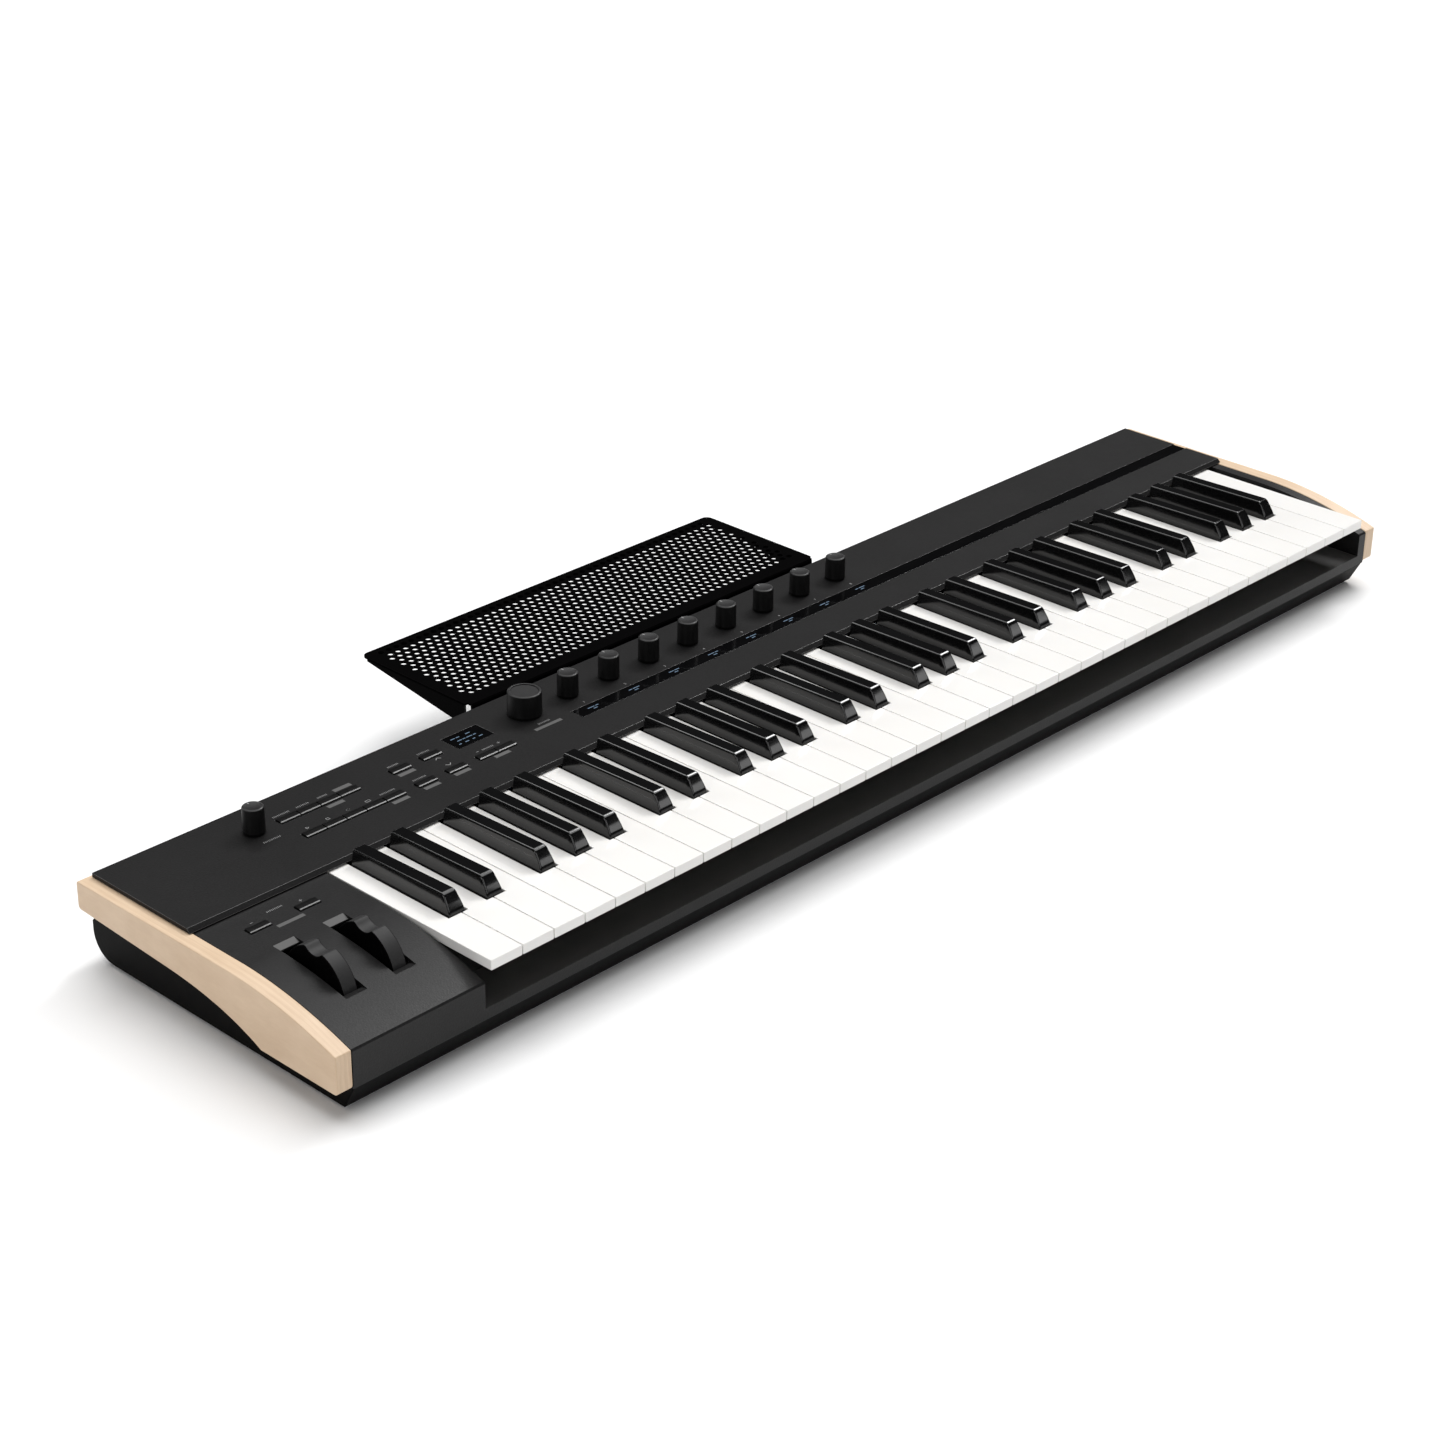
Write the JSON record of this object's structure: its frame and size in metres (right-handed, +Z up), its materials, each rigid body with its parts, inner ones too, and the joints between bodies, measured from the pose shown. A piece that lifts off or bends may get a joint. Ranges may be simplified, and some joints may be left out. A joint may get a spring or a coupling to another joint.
{
  "type": "keyboard synthesizer",
  "caption": "Slim stage synthesizer with piano-type keys, wooden side cheeks, two wheels, a row of knobs, small buttons, two dark windows and a perforated laptop shelf behind.",
  "frame": {"origin": "centre of the bounding box in X and Y, on the plane the four pads stand on", "axes": "+X along the keys towards the treble end, +Y from the player to the back, +Z up"},
  "size_m": [0.976, 0.3306, 0.0772],
  "materials": {
    "base_plastic": "moulded, fine grain",
    "case_plastic": "moulded, fine grain",
    "panel_plastic": "painted satin, fine grain",
    "wood": "pale close-grained wood, satin lacquer",
    "window": "polished dark acrylic",
    "shelf_steel": "black powder coat",
    "frame_plastic": "moulded",
    "circuit_board": "solder mask",
    "bracket_steel": "plated sheet",
    "wheel_rubber": "soft-touch coat",
    "knob_plastic": "soft-touch coat",
    "button_plastic": "moulded satin",
    "black_key_plastic": "polished",
    "white_key_plastic": "polished"
  },
  "bodies": {
    "case": {"lower_case": "base_plastic", "upper_case": "case_plastic", "top_panel": "panel_plastic", "left_cheek": "wood", "right_cheek": "wood", "display_window": "window", "strip_window": "window", "laptop_shelf": "shelf_steel", "keybed_frame": "frame_plastic", "panel_board": "circuit_board", "rear_jack_plate": "base_plastic", "wheel_bracket": "bracket_steel"},
    "pitch_wheel": {"pitch_wheel": "wheel_rubber"},
    "mod_wheel": {"mod_wheel": "wheel_rubber"},
    "power_rocker": {"power_rocker": "button_plastic"},
    "low_keys_cegb": {"low_keys_cegb": "white_key_plastic"},
    "low_keys_dfa": {"low_keys_dfa": "white_key_plastic"},
    "low_keys_black": {"low_keys_black": "black_key_plastic"},
    "high_keys_cegb": {"high_keys_cegb": "white_key_plastic"},
    "high_keys_dfa": {"high_keys_dfa": "white_key_plastic"},
    "high_keys_black": {"high_keys_black": "black_key_plastic"},
    "key_c": {"key_c": "white_key_plastic"},
    "key_cs": {"key_cs": "black_key_plastic"},
    "key_d": {"key_d": "white_key_plastic"},
    "key_ds": {"key_ds": "black_key_plastic"},
    "key_e": {"key_e": "white_key_plastic"},
    "key_f": {"key_f": "white_key_plastic"},
    "key_fs": {"key_fs": "black_key_plastic"},
    "key_g": {"key_g": "white_key_plastic"},
    "key_gs": {"key_gs": "black_key_plastic"},
    "key_a": {"key_a": "white_key_plastic"},
    "key_as": {"key_as": "black_key_plastic"},
    "key_b": {"key_b": "white_key_plastic"},
    "volume_knob": {"volume_knob": "knob_plastic"},
    "value_knob": {"value_knob": "knob_plastic"},
    "encoder_1": {"encoder_1": "knob_plastic"},
    "encoder_2": {"encoder_2": "knob_plastic"},
    "encoder_3": {"encoder_3": "knob_plastic"},
    "encoder_4": {"encoder_4": "knob_plastic"},
    "encoder_5": {"encoder_5": "knob_plastic"},
    "encoder_6": {"encoder_6": "knob_plastic"},
    "encoder_7": {"encoder_7": "knob_plastic"},
    "encoder_8": {"encoder_8": "knob_plastic"},
    "octave_down_button": {"octave_down_button": "button_plastic"},
    "octave_up_button": {"octave_up_button": "button_plastic"},
    "play_button": {"play_button": "button_plastic"},
    "stop_button": {"stop_button": "button_plastic"},
    "record_button": {"record_button": "button_plastic"},
    "loop_button": {"loop_button": "button_plastic"},
    "tempo_button": {"tempo_button": "button_plastic"},
    "chord_button": {"chord_button": "button_plastic"},
    "down_button": {"down_button": "button_plastic"},
    "page_left_button": {"page_left_button": "button_plastic"},
    "page_right_button": {"page_right_button": "button_plastic"},
    "menu_button_1": {"menu_button_1": "button_plastic"},
    "menu_button_2": {"menu_button_2": "button_plastic"},
    "menu_button_3": {"menu_button_3": "button_plastic"},
    "menu_button_4": {"menu_button_4": "button_plastic"},
    "arpeggio_button": {"arpeggio_button": "button_plastic"},
    "up_button": {"up_button": "button_plastic"}
  },
  "joints": [
    {"name": "pitch_wheel_turn", "type": "hinge", "parent": "case", "child": "pitch_wheel", "pos_m": [-0.4474, -0.10285, 0.043], "axis": [1, 0, 0], "range_deg": [-30, 30], "stiffness_Nm_per_rad": 0.03},
    {"name": "mod_wheel_turn", "type": "hinge", "parent": "case", "child": "mod_wheel", "pos_m": [-0.413, -0.10285, 0.043], "axis": [1, 0, 0], "range_deg": [-30, 30]},
    {"name": "power_rocker_tilt", "type": "hinge", "parent": "case", "child": "power_rocker", "pos_m": [0.438, 0.05725, 0.0405], "axis": [1, 0, 0], "range_deg": [-13.7, 0]},
    {"name": "low_keys_cegb_press", "type": "hinge", "parent": "case", "child": "low_keys_cegb", "pos_m": [-0.217, 0.03475, 0.041], "axis": [1, 0, 0], "range_deg": [0, 2.8], "stiffness_Nm_per_rad": 9.6, "springref_deg": -5.16},
    {"name": "low_keys_dfa_press", "type": "hinge", "parent": "case", "child": "low_keys_dfa", "pos_m": [-0.217, 0.03475, 0.041], "axis": [1, 0, 0], "range_deg": [0, 2.8], "stiffness_Nm_per_rad": 7.2, "springref_deg": -5.16},
    {"name": "low_keys_black_press", "type": "hinge", "parent": "case", "child": "low_keys_black", "pos_m": [-0.217, 0.03475, 0.041], "axis": [1, 0, 0], "range_deg": [0, 2.8], "stiffness_Nm_per_rad": 12, "springref_deg": -5.16},
    {"name": "high_keys_cegb_press", "type": "hinge", "parent": "case", "child": "high_keys_cegb", "pos_m": [0.288, 0.03475, 0.041], "axis": [1, 0, 0], "range_deg": [0, 2.8], "stiffness_Nm_per_rad": 10.8, "springref_deg": -5.16},
    {"name": "high_keys_dfa_press", "type": "hinge", "parent": "case", "child": "high_keys_dfa", "pos_m": [0.288, 0.03475, 0.041], "axis": [1, 0, 0], "range_deg": [0, 2.8], "stiffness_Nm_per_rad": 7.2, "springref_deg": -5.16},
    {"name": "high_keys_black_press", "type": "hinge", "parent": "case", "child": "high_keys_black", "pos_m": [0.288, 0.03475, 0.041], "axis": [1, 0, 0], "range_deg": [0, 2.8], "stiffness_Nm_per_rad": 12, "springref_deg": -5.16},
    {"name": "key_c_press", "type": "hinge", "parent": "case", "child": "key_c", "pos_m": [-0.04125, 0.03475, 0.041], "axis": [1, 0, 0], "range_deg": [0, 2.8], "stiffness_Nm_per_rad": 1.2, "springref_deg": -5.16},
    {"name": "key_cs_press", "type": "hinge", "parent": "case", "child": "key_cs", "pos_m": [-0.03185, 0.03475, 0.041], "axis": [1, 0, 0], "range_deg": [0, 2.8], "stiffness_Nm_per_rad": 1.2, "springref_deg": -5.16},
    {"name": "key_d_press", "type": "hinge", "parent": "case", "child": "key_d", "pos_m": [-0.01775, 0.03475, 0.041], "axis": [1, 0, 0], "range_deg": [0, 2.8], "stiffness_Nm_per_rad": 1.2, "springref_deg": -5.16},
    {"name": "key_ds_press", "type": "hinge", "parent": "case", "child": "key_ds", "pos_m": [-0.00365, 0.03475, 0.041], "axis": [1, 0, 0], "range_deg": [0, 2.8], "stiffness_Nm_per_rad": 1.2, "springref_deg": -5.16},
    {"name": "key_e_press", "type": "hinge", "parent": "case", "child": "key_e", "pos_m": [0.00575, 0.03475, 0.041], "axis": [1, 0, 0], "range_deg": [0, 2.8], "stiffness_Nm_per_rad": 1.2, "springref_deg": -5.16},
    {"name": "key_f_press", "type": "hinge", "parent": "case", "child": "key_f", "pos_m": [0.02925, 0.03475, 0.041], "axis": [1, 0, 0], "range_deg": [0, 2.8], "stiffness_Nm_per_rad": 1.2, "springref_deg": -5.16},
    {"name": "key_fs_press", "type": "hinge", "parent": "case", "child": "key_fs", "pos_m": [0.0371, 0.03475, 0.041], "axis": [1, 0, 0], "range_deg": [0, 2.8], "stiffness_Nm_per_rad": 1.2, "springref_deg": -5.16},
    {"name": "key_g_press", "type": "hinge", "parent": "case", "child": "key_g", "pos_m": [0.05275, 0.03475, 0.041], "axis": [1, 0, 0], "range_deg": [0, 2.8], "stiffness_Nm_per_rad": 1.2, "springref_deg": -5.16},
    {"name": "key_gs_press", "type": "hinge", "parent": "case", "child": "key_gs", "pos_m": [0.0645, 0.03475, 0.041], "axis": [1, 0, 0], "range_deg": [0, 2.8], "stiffness_Nm_per_rad": 1.2, "springref_deg": -5.16},
    {"name": "key_a_press", "type": "hinge", "parent": "case", "child": "key_a", "pos_m": [0.07625, 0.03475, 0.041], "axis": [1, 0, 0], "range_deg": [0, 2.8], "stiffness_Nm_per_rad": 1.2, "springref_deg": -5.16},
    {"name": "key_as_press", "type": "hinge", "parent": "case", "child": "key_as", "pos_m": [0.0919, 0.03475, 0.041], "axis": [1, 0, 0], "range_deg": [0, 2.8], "stiffness_Nm_per_rad": 1.2, "springref_deg": -5.16},
    {"name": "key_b_press", "type": "hinge", "parent": "case", "child": "key_b", "pos_m": [0.09975, 0.03475, 0.041], "axis": [1, 0, 0], "range_deg": [0, 2.8], "stiffness_Nm_per_rad": 1.2, "springref_deg": -5.16},
    {"name": "volume_knob_turn", "type": "hinge", "parent": "case", "child": "volume_knob", "pos_m": [-0.3863, 0.02975, 0.06], "axis": [0, 0, 1], "range_deg": [-150, 150]},
    {"name": "value_knob_turn", "type": "hinge", "parent": "case", "child": "value_knob", "pos_m": [-0.1744, 0.02975, 0.06], "axis": [0, 0, 1], "continuous": true},
    {"name": "encoder_1_turn", "type": "hinge", "parent": "case", "child": "encoder_1", "pos_m": [-0.1375, 0.02975, 0.06], "axis": [0, 0, 1], "continuous": true},
    {"name": "encoder_2_turn", "type": "hinge", "parent": "case", "child": "encoder_2", "pos_m": [-0.10155, 0.02975, 0.06], "axis": [0, 0, 1], "continuous": true},
    {"name": "encoder_3_turn", "type": "hinge", "parent": "case", "child": "encoder_3", "pos_m": [-0.0656, 0.02975, 0.06], "axis": [0, 0, 1], "continuous": true},
    {"name": "encoder_4_turn", "type": "hinge", "parent": "case", "child": "encoder_4", "pos_m": [-0.02965, 0.02975, 0.06], "axis": [0, 0, 1], "continuous": true},
    {"name": "encoder_5_turn", "type": "hinge", "parent": "case", "child": "encoder_5", "pos_m": [0.0063, 0.02975, 0.06], "axis": [0, 0, 1], "continuous": true},
    {"name": "encoder_6_turn", "type": "hinge", "parent": "case", "child": "encoder_6", "pos_m": [0.04225, 0.02975, 0.06], "axis": [0, 0, 1], "continuous": true},
    {"name": "encoder_7_turn", "type": "hinge", "parent": "case", "child": "encoder_7", "pos_m": [0.0782, 0.02975, 0.06], "axis": [0, 0, 1], "continuous": true},
    {"name": "encoder_8_turn", "type": "hinge", "parent": "case", "child": "encoder_8", "pos_m": [0.11415, 0.02975, 0.06], "axis": [0, 0, 1], "continuous": true},
    {"name": "octave_down_button_press", "type": "slide", "parent": "case", "child": "octave_down_button", "axis": [0, 0, -1], "range_m": [0, 0.0008], "stiffness_N_per_m": 500, "springref_m": -0.0006},
    {"name": "octave_up_button_press", "type": "slide", "parent": "case", "child": "octave_up_button", "axis": [0, 0, -1], "range_m": [0, 0.0008], "stiffness_N_per_m": 500, "springref_m": -0.0006},
    {"name": "play_button_press", "type": "slide", "parent": "case", "child": "play_button", "axis": [0, 0, -1], "range_m": [0, 0.0008], "stiffness_N_per_m": 500, "springref_m": -0.0006},
    {"name": "menu_button_1_press", "type": "slide", "parent": "case", "child": "menu_button_1", "axis": [0, 0, -1], "range_m": [0, 0.0008], "stiffness_N_per_m": 500, "springref_m": -0.0006},
    {"name": "up_button_press", "type": "slide", "parent": "case", "child": "up_button", "axis": [0, 0, -1], "range_m": [0, 0.0008], "stiffness_N_per_m": 500, "springref_m": -0.0006},
    {"name": "page_right_button_press", "type": "slide", "parent": "case", "child": "page_right_button", "axis": [0, 0, -1], "range_m": [0, 0.0008], "stiffness_N_per_m": 500, "springref_m": -0.0006},
    {"name": "stop_button_press", "type": "slide", "parent": "case", "child": "stop_button", "axis": [0, 0, -1], "range_m": [0, 0.0008], "stiffness_N_per_m": 500, "springref_m": -0.0006},
    {"name": "record_button_press", "type": "slide", "parent": "case", "child": "record_button", "axis": [0, 0, -1], "range_m": [0, 0.0008], "stiffness_N_per_m": 500, "springref_m": -0.0006},
    {"name": "loop_button_press", "type": "slide", "parent": "case", "child": "loop_button", "axis": [0, 0, -1], "range_m": [0, 0.0008], "stiffness_N_per_m": 500, "springref_m": -0.0006},
    {"name": "tempo_button_press", "type": "slide", "parent": "case", "child": "tempo_button", "axis": [0, 0, -1], "range_m": [0, 0.0008], "stiffness_N_per_m": 500, "springref_m": -0.0006},
    {"name": "chord_button_press", "type": "slide", "parent": "case", "child": "chord_button", "axis": [0, 0, -1], "range_m": [0, 0.0008], "stiffness_N_per_m": 500, "springref_m": -0.0006},
    {"name": "down_button_press", "type": "slide", "parent": "case", "child": "down_button", "axis": [0, 0, -1], "range_m": [0, 0.0008], "stiffness_N_per_m": 500, "springref_m": -0.0006},
    {"name": "page_left_button_press", "type": "slide", "parent": "case", "child": "page_left_button", "axis": [0, 0, -1], "range_m": [0, 0.0008], "stiffness_N_per_m": 500, "springref_m": -0.0006},
    {"name": "menu_button_2_press", "type": "slide", "parent": "case", "child": "menu_button_2", "axis": [0, 0, -1], "range_m": [0, 0.0008], "stiffness_N_per_m": 500, "springref_m": -0.0006},
    {"name": "menu_button_3_press", "type": "slide", "parent": "case", "child": "menu_button_3", "axis": [0, 0, -1], "range_m": [0, 0.0008], "stiffness_N_per_m": 500, "springref_m": -0.0006},
    {"name": "menu_button_4_press", "type": "slide", "parent": "case", "child": "menu_button_4", "axis": [0, 0, -1], "range_m": [0, 0.0008], "stiffness_N_per_m": 500, "springref_m": -0.0006},
    {"name": "arpeggio_button_press", "type": "slide", "parent": "case", "child": "arpeggio_button", "axis": [0, 0, -1], "range_m": [0, 0.0008], "stiffness_N_per_m": 500, "springref_m": -0.0006}
  ]
}
